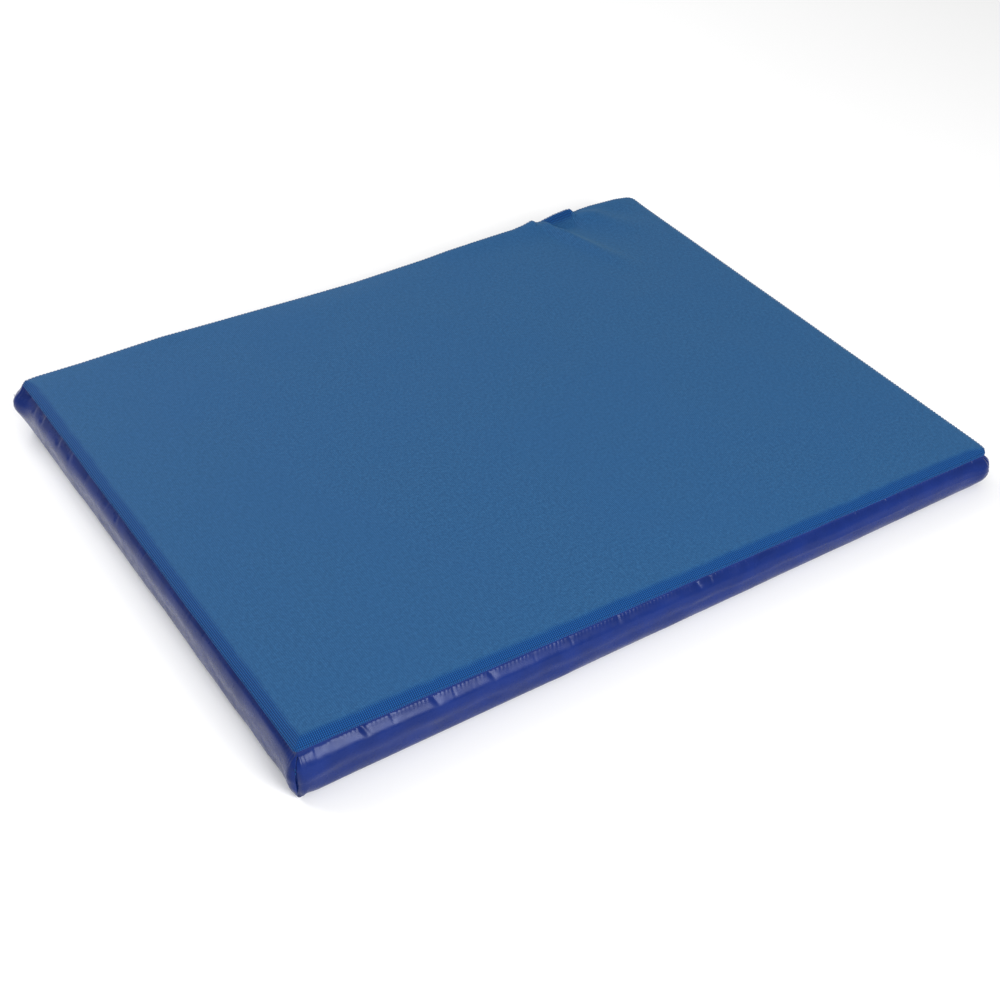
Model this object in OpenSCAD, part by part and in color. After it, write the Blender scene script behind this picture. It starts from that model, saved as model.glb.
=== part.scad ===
// Low incline wedge mat: a sewn cover over one foam wedge, closed by a zip in the rear side.
// Frame: X along the incline (thick end at -X), Y towards the rear, Z up, floor at Z = 0.

/* [Mat] */
// Overall length, along the incline
mat_l = 1200; // [900:10:1500]
// Overall width, from the front side to the outside of the zip pull
mat_w = 936; // [700:2:1200]
// Height of the thick end
thick_end = 96; // [80:1:160]
// Height of the thin end
thin_end = 68; // [60:1:80]
// Radius of the four upright corners
corner_r = 14; // [8:1:30]

/* [Cover] */
// Thickness of the cover sheets
sheet_t = 1.2; // [0.8:0.1:2]
// Depth of the anti-slip face that turns down over the foam's edge
face_turn = 8; // [4:1:16]
// Depth of the base sheet that turns up over the foam's edge
base_turn = 4; // [3:1:10]
// Width of a thread line in a seam
seam_w = 1; // [0.8:0.1:2]

/* [Zip] */
// Height of the zip's centre line above the floor
zip_z = 30; // [24:1:32]
// Distance from the end of the mat to the end of the zip
zip_margin = 70; // [50:5:150]
// Height of the window between the two rear strips
window_h = 11; // [10.4:0.1:12]
// Width of each tape
tape_w = 16; // [12:1:18]
// Thickness of each tape
tape_t = 0.6; // [0.4:0.1:1]
// Width of each row of teeth
row_w = 2.8; // [2.4:0.1:3]
// Thickness of each row of teeth
row_t = 2.2; // [1.8:0.1:2.6]
// Gap between the two rows, where the slider's post runs
row_gap = 1.6; // [1.4:0.1:1.8]

/* [Slider] */
// Length of the slider along the zip
slider_l = 22; // [18:1:28]
// Thickness of the slider's plates
plate_t = 1.4; // [1:0.1:1.8]
// Length of the pull tab, from its hinge to its tip
pull_l = 32; // [20:1:40]
// Width of the pull tab
pull_w = 8; // [7:0.5:9]
// Thickness of the pull tab
pull_t = 1.4; // [1:0.1:1.8]
// Radius of the hinge wire
wire_r = 0.9; // [0.7:0.1:1.1]

/* [Hidden] */
$fn = 48;

pvc_blue = [0.20, 0.24, 0.55];
face_blue = [0.21, 0.38, 0.56];
thread_blue = [0.16, 0.30, 0.55];
zip_blue = [0.12, 0.16, 0.38];
metal = [0.72, 0.73, 0.75];
foam_white = [0.90, 0.88, 0.82];

gap = 0.3;
far = 2 * mat_l;
stitch_t = 0.4;
stitch_off = 3;
tape_tail = 12;
stop_l = 3;
stop_extra = 0.4;
lug_t = 1;
post_t = row_gap - 2 * gap;
post_l = 4;
wire_clear = 0.06;
eye_r = wire_r + 0.7;

// Heights of the zip's layers outside the cover's rear face, and how far the slider stands out
row_out = row_t - sheet_t;
plate_out = row_out + gap;
bail_out = plate_out + plate_t;
hinge_out = bail_out + gap + eye_r;
zip_proud = hinge_out + eye_r;

// Places of the cover's faces and of the zip
rear_y = mat_w / 2 - zip_proud;
front_y = -mat_w / 2;
mid_y = (rear_y + front_y) / 2;
cover_w = rear_y - front_y;
corner_x = mat_l / 2 - corner_r;
corner_y = cover_w / 2 - corner_r;
zip_half = mat_l / 2 - zip_margin;
row_half = zip_half - 4;
band_low = base_turn + seam_w;
band_drop = face_turn + seam_w;
tape_y = rear_y - sheet_t - tape_t;
inner_plate_y = tape_y - gap - plate_t;
foam_rear_y = inner_plate_y - gap;
slider_x = row_half - gap - slider_l / 2;
slider_half_w = row_gap / 2 + row_w + gap + lug_t;
hinge_x = slider_x - 2;
lug_z = pull_w / 2 - 2 + gap;

// Height of the sloping face at x
function top_z(x) = (thick_end + thin_end) / 2 - (thick_end - thin_end) * x / mat_l;

// Side profile between two lines, each a height or a drop below the sloping face, across the whole width
module across(low_left, low_right, high_left, high_right) {
    rotate([90, 0, 0])
        linear_extrude(height = 2 * mat_w, center = true)
            polygon([[-far, low_left], [far, low_right], [far, high_right], [-far, high_left]]);
}

// Everything between the height low and a plane that lies drop below the sloping face
module level_to_slope(low, drop) {
    across(low, low, top_z(-far) - drop, top_z(far) - drop);
}

// Everything between two planes that lie deep and shallow below the sloping face
module slope_to_slope(deep, shallow) {
    across(top_z(-far) - deep, top_z(far) - deep, top_z(-far) - shallow, top_z(far) - shallow);
}

// Outline of the mat in plan, moved in by inset
module plan(inset) {
    translate([0, mid_y]) {
        square([mat_l - 2 * inset, 2 * corner_y], center = true);
        square([2 * corner_x, cover_w - 2 * inset], center = true);
        for (sx = [-1, 1])
            for (sy = [-1, 1])
                translate([sx * corner_x, sy * corner_y])
                    circle(r = corner_r - inset);
    }
}

// Upright column over the plan
module column(inset) {
    translate([0, 0, -thick_end])
        linear_extrude(height = 4 * thick_end)
            plan(inset);
}

// The cover's side wall inside the child's slice
module wall() {
    difference() {
        intersection() {
            column(0);
            children();
        }
        column(sheet_t);
    }
}

// Box given by its low and high corners
module block(low, high) {
    translate(low)
        cube(high - low);
}

// Thin upright slices where the side bands meet, one in each corner
module corner_slices() {
    for (sx = [-1, 1])
        for (sy = [-1, 1])
            translate([sx * corner_x, mid_y + sy * corner_y, 0])
                rotate([0, 0, atan2(sy, sx)])
                    translate([0, -seam_w / 2, 0])
                        cube([2 * corner_r, seam_w, 2 * thick_end]);
}

// The part of the plan that belongs to the long side at sy = -1 (front) or 1 (rear)
module long_side(sy) {
    reach = 2 * corner_r;
    translate([0, mid_y, 0])
        linear_extrude(height = 2 * thick_end)
            polygon([
                [-corner_x, sy * corner_y], [corner_x, sy * corner_y],
                [corner_x + reach, sy * (corner_y + reach)], [-corner_x - reach, sy * (corner_y + reach)]
            ]);
}

// The part of the plan that belongs to the short side at sx = -1 (left) or 1 (right)
module short_side(sx) {
    reach = 2 * corner_r;
    translate([0, mid_y, 0])
        linear_extrude(height = 2 * thick_end)
            polygon([
                [sx * corner_x, -corner_y], [sx * corner_x, corner_y],
                [sx * (corner_x + reach), corner_y + reach], [sx * (corner_x + reach), -corner_y - reach]
            ]);
}

// The side wall between the base seam and the face seam, less the corner seams, inside the child
module band() {
    color(pvc_blue)
        difference() {
            intersection() {
                wall()
                    level_to_slope(band_low, band_drop);
                children();
            }
            corner_slices();
        }
}

module foam_core() {
    color(foam_white)
        intersection() {
            column(sheet_t);
            level_to_slope(sheet_t, sheet_t);
            block([-far, front_y, 0], [far, foam_rear_y, 2 * thick_end]);
        }
}

module anti_slip_face() {
    color(face_blue)
        difference() {
            intersection() {
                column(0);
                slope_to_slope(face_turn, 0);
            }
            intersection() {
                column(sheet_t);
                slope_to_slope(2 * face_turn, sheet_t);
            }
        }
}

module base_sheet() {
    color(pvc_blue)
        difference() {
            intersection() {
                column(0);
                across(0, 0, base_turn, base_turn);
            }
            intersection() {
                column(sheet_t);
                across(sheet_t, sheet_t, 2 * base_turn, 2 * base_turn);
            }
        }
}

module front_band() {
    band()
        long_side(-1);
}

module left_band() {
    band()
        short_side(-1);
}

module right_band() {
    band()
        short_side(1);
}

// Rear strips run between the two end pieces, above and below the zip window
module rear_strip_upper() {
    band()
        block([-zip_half, 0, zip_z + window_h / 2], [zip_half, mat_w, 2 * thick_end]);
}

module rear_strip_lower() {
    band()
        block([-zip_half, 0, 0], [zip_half, mat_w, zip_z - window_h / 2]);
}

// End pieces close the rear side from the end of the zip round to the corner seam
module rear_end_left() {
    band()
        intersection() {
            long_side(1);
            block([-far, 0, 0], [-zip_half, mat_w, 2 * thick_end]);
        }
}

module rear_end_right() {
    band()
        intersection() {
            long_side(1);
            block([zip_half, 0, 0], [far, mat_w, 2 * thick_end]);
        }
}

module face_seam_thread() {
    color(thread_blue)
        wall()
            slope_to_slope(band_drop, face_turn);
}

module base_seam_thread() {
    color(thread_blue)
        wall()
            across(base_turn, base_turn, band_low, band_low);
}

module corner_seam_threads() {
    color(thread_blue)
        intersection() {
            wall()
                level_to_slope(band_low, band_drop);
            corner_slices();
        }
}

// Thread rows on the strips and across the end pieces, which hold the tapes
module zip_stitching() {
    row_z = window_h / 2 + stitch_off;
    row_end = zip_half - 1;
    tail_x = zip_half + stitch_off;
    color(thread_blue) {
        for (s = [-1, 1])
            translate([0, rear_y + stitch_t / 2, zip_z + s * row_z])
                cube([2 * row_end, stitch_t, seam_w], center = true);
        for (s = [-1, 1])
            translate([s * tail_x, rear_y + stitch_t / 2, zip_z])
                cube([seam_w, stitch_t, 2 * row_z], center = true);
    }
}

// One tape, above (s = 1) or below (s = -1) the centre line
module tape(s) {
    color(zip_blue)
        translate([0, tape_y + tape_t / 2, zip_z + s * (row_gap + tape_w) / 2])
            cube([2 * (zip_half + tape_tail), tape_t, tape_w], center = true);
}

// One row of teeth, above or below the centre line
module tooth_row(s) {
    color(zip_blue)
        translate([0, rear_y - sheet_t + row_t / 2, zip_z + s * (row_gap + row_w) / 2])
            cube([2 * row_half, row_t, row_w], center = true);
}

// Metal staple round both rows at the end of the zip
module stop_at(s) {
    stop_h = 2 * row_w + row_gap;
    color(metal)
        translate([s * (row_half + stop_l / 2), rear_y - sheet_t + (row_t + stop_extra) / 2, zip_z])
            cube([stop_l, row_t + stop_extra, stop_h], center = true);
}

module zip_tape_upper() {
    tape(1);
}

module zip_tape_lower() {
    tape(-1);
}

module zip_row_upper() {
    tooth_row(1);
}

module zip_row_lower() {
    tooth_row(-1);
}

module zip_stop_closed() {
    stop_at(1);
}

module zip_stop_open() {
    stop_at(-1);
}

// Slider plate in the plane of the zip: square shoulders in front, narrower behind, corners cut
module slider_plate(low_y, high_y) {
    half_l = slider_l / 2;
    cut = 1.6;
    tail_w = slider_half_w - 0.8;
    translate([slider_x, high_y, zip_z])
        rotate([90, 0, 0])
            linear_extrude(height = high_y - low_y)
                polygon([
                    [half_l, slider_half_w - cut], [half_l - cut, slider_half_w], [0, slider_half_w],
                    [cut - half_l, tail_w], [-half_l, tail_w - cut], [-half_l, cut - tail_w],
                    [cut - half_l, -tail_w], [0, -slider_half_w], [half_l - cut, -slider_half_w],
                    [half_l, cut - slider_half_w]
                ]);
}

// Lip along one side of the outer plate, which keeps a row of teeth in the slider
module slider_lip(s) {
    lip_low = rear_y - sheet_t + gap;
    lip_l = slider_l / 2 - 2;
    lip_z = slider_half_w - lug_t / 2;
    translate([slider_x + lip_l / 2, (lip_low + rear_y + plate_out) / 2, zip_z + s * lip_z])
        cube([lip_l, rear_y + plate_out - lip_low, lug_t], center = true);
}

module slider_body() {
    post_x = slider_x + slider_l / 2 - post_l;
    color(metal) {
        slider_plate(rear_y + plate_out, rear_y + bail_out);
        slider_plate(inner_plate_y, inner_plate_y + plate_t);
        block([post_x, inner_plate_y, zip_z - post_t / 2],
            [post_x + post_l, rear_y + bail_out, zip_z + post_t / 2]);
        for (s = [-1, 1])
            slider_lip(s);
    }
}

// Two ears and the wire between them that the pull tab turns on
module slider_bail() {
    hinge_y = rear_y + hinge_out;
    color(metal) {
        for (s = [-1, 1])
            translate([hinge_x, hinge_y, zip_z + s * (lug_z + lug_t / 2)]) {
                cylinder(r = eye_r, h = lug_t, center = true);
                translate([0, (bail_out - hinge_out) / 2, 0])
                    cube([2 * eye_r, hinge_out - bail_out, lug_t], center = true);
            }
        translate([hinge_x, hinge_y, zip_z])
            cylinder(r = wire_r, h = 2 * lug_z + lug_t, center = true);
    }
}

// Pull tab: an eye on the wire, a neck, and a round-ended tab with a hole
module pull_tab() {
    hinge_y = rear_y + hinge_out;
    eye_w = 2 * (lug_z - gap);
    neck_l = 5;
    tip_r = pull_w / 2;
    tab_l = pull_l - tip_r;
    color(metal)
        difference() {
            union() {
                translate([hinge_x, hinge_y, zip_z])
                    cylinder(r = eye_r, h = eye_w, center = true);
                translate([hinge_x - neck_l / 2, hinge_y, zip_z])
                    cube([neck_l, pull_t, eye_w], center = true);
                translate([hinge_x - (neck_l + tab_l) / 2, hinge_y, zip_z])
                    cube([tab_l - neck_l, pull_t, pull_w], center = true);
                translate([hinge_x - tab_l, hinge_y, zip_z])
                    rotate([90, 0, 0])
                        cylinder(r = tip_r, h = pull_t, center = true);
            }
            translate([hinge_x, hinge_y, zip_z])
                cylinder(r = wire_r + wire_clear, h = pull_w, center = true);
            translate([hinge_x - tab_l, hinge_y, zip_z])
                rotate([90, 0, 0])
                    cylinder(r = tip_r / 2, h = 2 * pull_t, center = true);
        }
}

foam_core();
anti_slip_face();
base_sheet();
front_band();
left_band();
right_band();
rear_strip_upper();
rear_strip_lower();
rear_end_left();
rear_end_right();
face_seam_thread();
base_seam_thread();
corner_seam_threads();
zip_stitching();
zip_tape_upper();
zip_tape_lower();
zip_row_upper();
zip_row_lower();
zip_stop_closed();
zip_stop_open();
slider_body();
slider_bail();
pull_tab();
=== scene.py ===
"""The looks of a low incline wedge mat: a sewn cover over a foam wedge, with a zip in its rear side.

Everything is in metres in the frame's own axes: X along the incline with the thick end at -X, Y towards
the rear side with the zip, Z up, and the floor at Z = 0. The front side faces -Y.
"""

import math

import bmesh
import bpy
import numpy as np
from mathutils import Matrix, Vector
from mathutils.noise import noise


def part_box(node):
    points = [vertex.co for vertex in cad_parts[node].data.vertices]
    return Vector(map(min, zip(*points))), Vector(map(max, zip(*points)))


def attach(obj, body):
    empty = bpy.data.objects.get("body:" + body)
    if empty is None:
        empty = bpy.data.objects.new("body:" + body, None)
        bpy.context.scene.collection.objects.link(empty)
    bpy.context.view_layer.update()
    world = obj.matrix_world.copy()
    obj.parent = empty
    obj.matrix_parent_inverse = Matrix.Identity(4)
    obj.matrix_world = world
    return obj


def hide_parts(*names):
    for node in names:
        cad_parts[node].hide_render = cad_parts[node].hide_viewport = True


MM = 0.001

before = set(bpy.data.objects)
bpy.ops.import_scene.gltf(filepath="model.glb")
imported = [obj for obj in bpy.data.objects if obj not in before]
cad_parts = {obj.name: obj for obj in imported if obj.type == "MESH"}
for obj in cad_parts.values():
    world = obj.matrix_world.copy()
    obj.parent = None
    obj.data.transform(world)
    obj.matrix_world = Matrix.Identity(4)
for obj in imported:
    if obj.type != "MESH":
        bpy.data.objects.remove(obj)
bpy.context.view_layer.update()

# ---- sizes from the frame

FACE_LOW, FACE_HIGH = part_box("anti_slip_face")
LEFT_X, RIGHT_X = FACE_LOW[0], FACE_HIGH[0]
FRONT_Y, REAR_Y = FACE_LOW[1], FACE_HIGH[1]
THICK = FACE_HIGH[2]
FACE_TURN = 8 * MM
THIN = FACE_LOW[2] + FACE_TURN
LENGTH, WIDTH = RIGHT_X - LEFT_X, REAR_Y - FRONT_Y

ZIP_LOW, ZIP_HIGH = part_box("zip_row_lower")[0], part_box("zip_row_upper")[1]
ZIP_Z = (ZIP_LOW[2] + ZIP_HIGH[2]) / 2
WINDOW_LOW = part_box("rear_strip_lower")[1][2]
WINDOW_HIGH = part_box("rear_strip_upper")[0][2]
STRIP_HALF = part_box("rear_strip_upper")[1][0]

# ---- sizes of the soft cover

CELL = 5 * MM  # coarse mesh pitch, three fine columns to each coarse one
SHEET_T = 1.2 * MM  # the side bands
FACE_T = 0.8 * MM
BASE_T = 1.0 * MM
SEAM_DROP = 8.5 * MM  # how far below the face's plane its seam lies
STITCH_PITCH = 6 * MM
FLAT_RING = 30 * MM  # width of the ring between the face's grid and the mat's edge
CORNER_R = {"near": 6 * MM, "right": 13 * MM, "far": 15 * MM, "left": 7 * MM}

# each side: its start corner, end corner, the way it runs and its outward normal
SIDES = {
    "front": ("near", "right", (1, 0), (0, -1)),
    "right": ("right", "far", (0, 1), (1, 0)),
    "rear": ("far", "left", (-1, 0), (0, 1)),
    "left": ("left", "near", (0, -1), (-1, 0)),
}
CORNERS = {
    "near": (LEFT_X, FRONT_Y), "right": (RIGHT_X, FRONT_Y),
    "far": (RIGHT_X, REAR_Y), "left": (LEFT_X, REAR_Y),
}
RUN = {"front": LENGTH, "right": WIDTH, "rear": LENGTH, "left": WIDTH}
CELLS = {side: round(run / CELL) for side, run in RUN.items()}


def top_z(x):
    """Height of the face's plane at x."""
    return THICK + (THIN - THICK) * (x - LEFT_X) / LENGTH


def smooth(t):
    """Smooth step from 0 to 1."""
    t = np.clip(t, 0, 1)
    return t * t * (3 - 2 * t)


def bell(distance, width):
    """1 at no distance, dying away over about a width."""
    return np.exp(-((distance / width) ** 2))


def lerp(a, b, t):
    return a + (b - a) * t


def noise_at(points, scale, seed, octaves=1):
    """Smooth noise between about -1 and 1 at an array of points."""
    flat = points.reshape(-1, points.shape[-1])
    out = np.empty(len(flat))
    shift = Vector((seed * 13.7, seed * 7.1, seed * 3.3))
    for i, p in enumerate(flat):
        v = Vector((p[0], p[1], p[2] if len(p) > 2 else 0.0)) / scale + shift
        total, share = 0.0, 1.0
        for _ in range(octaves):
            total += share * noise(v)
            v, share = v * 2.03, share * 0.5
        out[i] = total
    return out.reshape(points.shape[:-1])


def line_noise(s, scale, seed, octaves=1):
    """Smooth noise along a line."""
    points = np.stack([s, np.zeros_like(s), np.zeros_like(s)], -1)
    return noise_at(points, scale, seed, octaves)


# ---- the mat's outline in plan


def side_path(side, share, inset):
    """Place and outward normal at each share of one side, from the middle of its first corner to the
    middle of its last, on the outline moved in by inset."""
    start, end, along, normal = SIDES[side]
    along, normal = np.array(along, float), np.array(normal, float)
    r0 = max(CORNER_R[start] - inset, MM)
    r1 = max(CORNER_R[end] - inset, MM)
    c0 = np.array(CORNERS[start]) + along * (inset + r0) - normal * (inset + r0)
    c1 = np.array(CORNERS[end]) - along * (inset + r1) - normal * (inset + r1)
    arc0, arc1 = r0 * math.pi / 4, r1 * math.pi / 4
    straight = float(np.dot(c1 - c0, along))
    s = np.asarray(share) * (arc0 + straight + arc1)
    turn = np.where(s < arc0, (s - arc0) / r0, 0.0)
    turn = np.where(s > arc0 + straight, (s - arc0 - straight) / r1, turn)
    centre_s = np.clip(s - arc0, 0, straight)
    radius = np.where(s < arc0 + straight / 2, r0, r1)
    away = np.cos(turn)[:, None] * normal + np.sin(turn)[:, None] * along
    base = c0 + centre_s[:, None] * along
    lift = (r1 - r0) * np.where(s > arc0 + straight / 2, 1.0, 0.0)
    # both ends of the straight stretch lie on one line, so the second centre is moved in by its own radius
    base = base - lift[:, None] * normal
    return base + radius[:, None] * away, away


def side_shares(side, fine):
    n = CELLS[side] * (3 if fine else 1)
    return np.linspace(0, 1, n + 1)


def loop_path(inset, fine):
    """The places and normals of the whole outline, as one closed loop."""
    places, normals = [], []
    for side in SIDES:
        p, n = side_path(side, side_shares(side, fine)[:-1], inset)
        places.append(p)
        normals.append(n)
    return np.concatenate(places), np.concatenate(normals)


def distance_along(points):
    """How far along a line of points each of them lies."""
    steps = np.linalg.norm(np.diff(points, axis=0), axis=1)
    return np.concatenate([[0], np.cumsum(steps)])


# ---- building meshes


def make_object(name, verts, faces, cloth=None):
    mesh = bpy.data.meshes.new(name)
    mesh.from_pydata([tuple(map(float, v)) for v in verts], [], faces)
    mesh.validate()
    mesh.polygons.foreach_set("use_smooth", [True] * len(mesh.polygons))
    if cloth is not None:
        layer = mesh.attributes.new("cloth", "FLOAT_VECTOR", "POINT")
        layer.data.foreach_set("vector", np.asarray(cloth, np.float32).ravel())
    obj = bpy.data.objects.new(name, mesh)
    bpy.context.scene.collection.objects.link(obj)
    return obj


def bridge(rows):
    """Faces between successive open rows of points, given how many points each has. A row may have three
    times the columns of its neighbour, and then six-sided faces join them."""
    faces, b = [], 0
    for n, m in zip(rows, rows[1:]):
        a, b = b, b + n
        if m == n:
            faces += [(a + i, a + i + 1, b + i + 1, b + i) for i in range(n - 1)]
        elif m > n:
            faces += [(a + i, a + i + 1, *(b + 3 * i + k for k in (3, 2, 1, 0))) for i in range(n - 1)]
        else:
            faces += [(b + i + 1, b + i, *(a + 3 * i + k for k in range(4))) for i in range(m - 1)]
    return faces


def grid_faces(nx, ny):
    """The squares of a grid whose points are numbered along Y first, and its rim as a closed loop."""

    def number(i, j):
        return i * (ny + 1) + j

    squares = [
        (number(i, j), number(i + 1, j), number(i + 1, j + 1), number(i, j + 1))
        for i in range(nx)
        for j in range(ny)
    ]
    rim = [number(i, 0) for i in range(nx)] + [number(nx, j) for j in range(ny)]
    rim += [number(i, ny) for i in range(nx, 0, -1)] + [number(0, j) for j in range(ny, 0, -1)]
    return squares, rim


def solidify(obj, thickness, offset=-1.0):
    """Gives a sheet its thickness, inward from its outer face."""
    mod = obj.modifiers.new("thickness", "SOLIDIFY")
    mod.thickness = thickness
    mod.offset = offset
    mod.use_even_offset = False
    apply_modifiers(obj)
    return obj


def apply_modifiers(obj):
    graph = bpy.context.evaluated_depsgraph_get()
    mesh = bpy.data.meshes.new_from_object(obj.evaluated_get(graph), depsgraph=graph)
    old = obj.data
    obj.modifiers.clear()
    obj.data = mesh
    mesh.name = obj.name
    bpy.data.meshes.remove(old)


# ---- shape of the anti-slip face

# Height of the rear edge against the face's plane, from the thick end to the thin one. The cover is
# slack beside the zip: the edge sags in the middle and lifts in two crests near the thin end.
REAR_EDGE = (
    (-0.60, -1.5), (-0.50, -1.2), (-0.43, 0.7), (-0.36, 2.6), (-0.29, 0.9), (-0.20, -1.1), (-0.10, -3.2),
    (0.0, -4.2), (0.10, -1.2), (0.14, 0.0), (0.19, 3.4), (0.26, 5.4), (0.33, 6.6), (0.352, 9.5),
    (0.371, 14.5), (0.380, 7.4), (0.388, 6.4), (0.398, 8.8), (0.42, 13.6), (0.446, 16.5), (0.456, 15.2),
    (0.461, 5.6), (0.475, 7.6), (0.50, 8.8), (0.56, 7.0), (0.60, 1.0),
)
EDGE_BLUR = 1.5 * MM
# Soft folds that run forward from the lifted edge: (start, end, height at the start, half width)
CREASES = (
    ((0.384, 0.462), (0.466, 0.200), 14 * MM, 8.5 * MM),
    ((0.456, 0.470), (0.570, 0.330), 9.0 * MM, 12 * MM),
    ((0.415, 0.462), (0.520, 0.270), -5.0 * MM, 17 * MM),
)
# The stretch of the rear border that is pulled up behind a hollow: (start, end, depth of the hollow)
HOLLOW = (0.384, 0.458, 5 * MM)


def rear_lift(x):
    """How far the rear edge stands above the face's plane at x."""
    at = [p[0] for p in REAR_EDGE]
    heights = [p[1] * MM for p in REAR_EDGE]
    return sum(np.interp(x + d * EDGE_BLUR, at, heights) for d in (-1, -0.5, 0, 0.5, 1)) / 5


def in_hollow(x):
    """1 along the stretch of the rear edge that stands up behind a hollow, 0 elsewhere."""
    start, end, _ = HOLLOW
    return smooth((x - start) / 0.02) * (1 - smooth((x - end + 0.008) / 0.012))


def crease(points, start, end, height, width):
    """Height of a soft fold that runs from start to end and dies away."""
    start, end = np.array(start), np.array(end)
    along = end - start
    length = float(np.linalg.norm(along))
    along = along / length
    rel = points - start
    t = rel @ along / length
    side = rel @ np.array([-along[1], along[0]])
    spread = width * (1 + 1.8 * np.clip(t, 0, 1))
    fade = (1 - smooth(t)) * smooth((t + 0.12) / 0.12)
    return height * fade * bell(side, spread)


def face_height(points):
    """How far the face stands above its plane at each (x, y)."""
    x, y = points[..., 0], points[..., 1]
    from_edge = np.minimum.reduce((x - LEFT_X, RIGHT_X - x, y - FRONT_Y, REAR_Y - y))
    inner = smooth(from_edge / 0.10)
    waves = 1.2 * MM * noise_at(points, 0.26, 3, 2) + 0.5 * MM * noise_at(points, 0.075, 5, 2)
    height = waves * (0.2 + 0.8 * inner)
    inside = in_hollow(x)
    reach = lerp(32 * MM, 13 * MM, inside)
    to_rear = REAR_Y - y
    height = height + rear_lift(x) * bell(to_rear, reach)
    height = height - HOLLOW[2] * inside * bell(to_rear - 30 * MM, 16 * MM)
    for place in CREASES:
        height = height + crease(points, *place) * smooth((to_rear - 6 * MM) / (26 * MM))
    return height


def seam_z(x):
    return top_z(x) - SEAM_DROP


# The border of the face from its grid down to the seam: (distance in from the edge, drop along the front
# and the left, where it slants, drop along the rear and the right, where it stays flat to a round edge).
# The last two points are the fabric folded in behind its own edge.
BORDER = (
    (20, 0.1, 0.0), (17.5, 0.35, 0.0), (15.5, 0.8, 0.05), (13.5, 1.5, 0.1), (11.5, 2.3, 0.15),
    (9.5, 3.2, 0.25), (7.5, 4.2, 0.5), (5.5, 5.3, 1.0), (3.6, 6.4, 1.9), (1.9, 7.5, 3.4), (0.6, 8.5, 6.0),
    (0.1, 9.2, 8.6), (0.5, 9.9, 9.9), (1.8, 10.2, 10.2),
)


def flat_border(points):
    """1 along the rear and the right, 0 along the front and the left."""
    x, y = points[..., 0], points[..., 1]
    to_rear_right = np.minimum(RIGHT_X - x, REAR_Y - y)
    to_front_left = np.minimum(x - LEFT_X, y - FRONT_Y)
    return smooth(0.5 + (to_front_left - to_rear_right) / 0.05)


def build_face():
    """The anti-slip face: a grid over the top, a ring round it, and the slanted border down to the seam."""
    nx, ny = CELLS["front"], CELLS["left"]
    gx = np.linspace(LEFT_X + FLAT_RING, RIGHT_X - FLAT_RING, nx + 1)
    gy = np.linspace(FRONT_Y + FLAT_RING, REAR_Y - FLAT_RING, ny + 1)
    grid = np.stack(np.meshgrid(gx, gy, indexing="ij"), -1)
    flat = grid.reshape(-1, 2)
    verts = [np.column_stack([flat, top_z(flat[:, 0]) + face_height(flat)])]
    cloth = [np.column_stack([flat, np.full(len(flat), FLAT_RING)])]
    faces, previous = grid_faces(nx, ny)
    at = len(flat)
    first = BORDER[0][0] * MM
    inner, _ = loop_path(first, False)
    rim_xy = flat[previous]
    middle = lerp(rim_xy, inner, 0.5)
    loops = [(middle, np.zeros_like(middle), np.zeros(len(middle)), (FLAT_RING + first) / 2)]
    for k, (inset, slanted, flat_drop) in enumerate(BORDER):
        p, n = loop_path(inset * MM, k > 0)
        loops.append((p, n, lerp(slanted, flat_drop, flat_border(p)) * MM, inset * MM))
    for p, n, drop, inset in loops:
        z = top_z(p[:, 0]) + face_height(p) - drop
        if len(p) > len(inner):
            s = distance_along(np.concatenate([p, p[:1]]))[:-1]
            pull = 0.6 + 0.6 * line_noise(s, 0.025, 8)
            hold = smooth(drop / SEAM_DROP)
            z = z + 0.12 * MM * pull * np.cos(2 * math.pi * s / STITCH_PITCH) * hold
            p = p - n * (0.2 * MM * pull * hold)[:, None]
            p = p + n * (0.5 * MM * line_noise(s, 0.06, 17) * hold)[:, None]
        verts.append(np.column_stack([p, z]))
        # the painted shade of the border ends where the fabric lies flat, except where it is pulled up at the
        # rear
        slant_shade_off = flat_border(p) * (1 - in_hollow(p[:, 0])) * 13 * MM
        cloth.append(np.column_stack([p + n * drop[:, None] * 0.3, inset + slant_shade_off]))
        current = list(range(at, at + len(p)))
        at += len(p)
        faces += ring_faces(previous, current)
        previous = current
    obj = make_object("anti_slip_face_cloth", np.concatenate(verts), faces, np.concatenate(cloth))
    return solidify(obj, FACE_T)


def ring_faces(inner, outer):
    """Faces between two closed loops of vertex numbers, the outer with as many or three times as many."""
    n, m = len(inner), len(outer)
    if n == m:
        return [(inner[i], outer[i], outer[(i + 1) % n], inner[(i + 1) % n]) for i in range(n)]
    return [
        (inner[i], *(outer[(3 * i + k) % m] for k in range(4)), inner[(i + 1) % n]) for i in range(n)
    ]


# ---- shape of the side bands

# How far each side swells at its start and at its end
BULGE = {
    "front": (8.0 * MM, 4.8 * MM),
    "right": (5.0 * MM, 5.0 * MM),
    "rear": (2.6 * MM, 2.6 * MM),
    "left": (8.5 * MM, 2.8 * MM),
}
WAIST_IN = 0.3  # share of the swelling that is lost where a band starts to turn under
HEM_IN = 7 * MM  # how far the base seam lies inside the edge
HEM_Z = 1.3 * MM  # height of the base seam
FOOT = 30 * MM  # height above the floor where a band starts to turn under
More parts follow.
